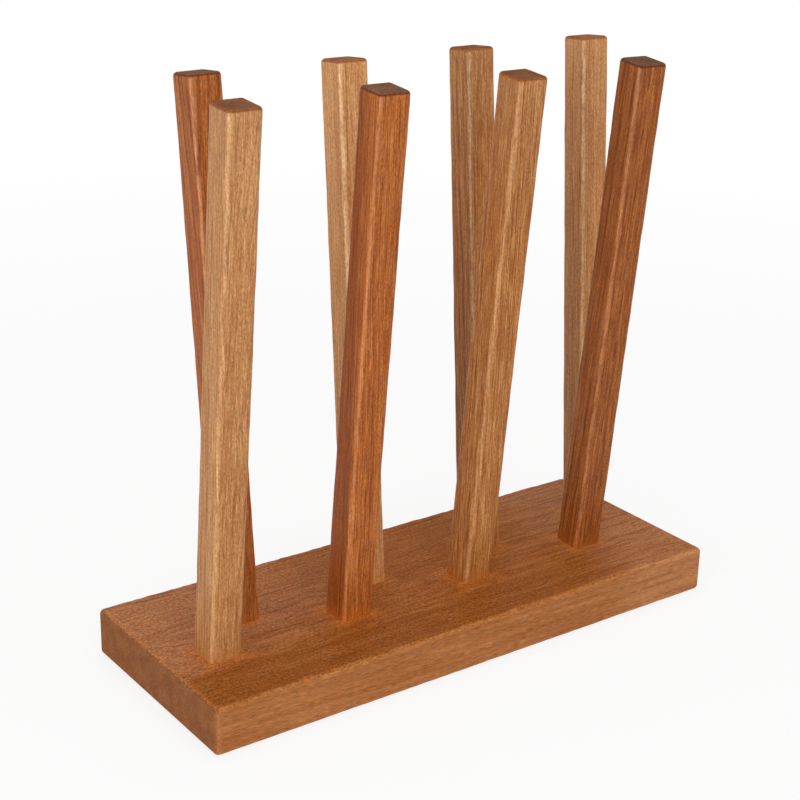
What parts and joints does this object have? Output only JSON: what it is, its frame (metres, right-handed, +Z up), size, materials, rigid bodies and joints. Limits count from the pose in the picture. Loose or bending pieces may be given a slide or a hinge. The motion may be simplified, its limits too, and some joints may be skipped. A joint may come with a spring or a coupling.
{
  "type": "boot rack",
  "caption": "Free-standing solid oak boot rack: a thick board with two staggered rows of square posts that lean apart, on which boots hang upside down.",
  "frame": {"origin": "centre of the board's underside, where it lies on the floor", "axes": "+X along the board, +Z up, and -Y towards the front row of posts, so that the back row is on the +Y side"},
  "size_m": [0.55, 0.21, 0.5243],
  "materials": {
    "oak_board": "satin oil, flat-sawn oak plank",
    "oak_pale": "satin oil, straight-grained pale oak",
    "oak_tan": "satin oil, straight-grained tan oak",
    "oak_russet": "satin oil, straight-grained red-brown oak",
    "stainless_screw": "plain stainless steel"
  },
  "bodies": {
    "root": {"base_board": "oak_board", "post_front_1": "oak_pale", "post_front_2": "oak_russet", "post_front_3": "oak_tan", "post_front_4": "oak_russet", "post_back_1": "oak_russet", "post_back_2": "oak_pale", "post_back_3": "oak_tan", "post_back_4": "oak_pale", "post_screws": "stainless_screw"}
  },
  "joints": []
}
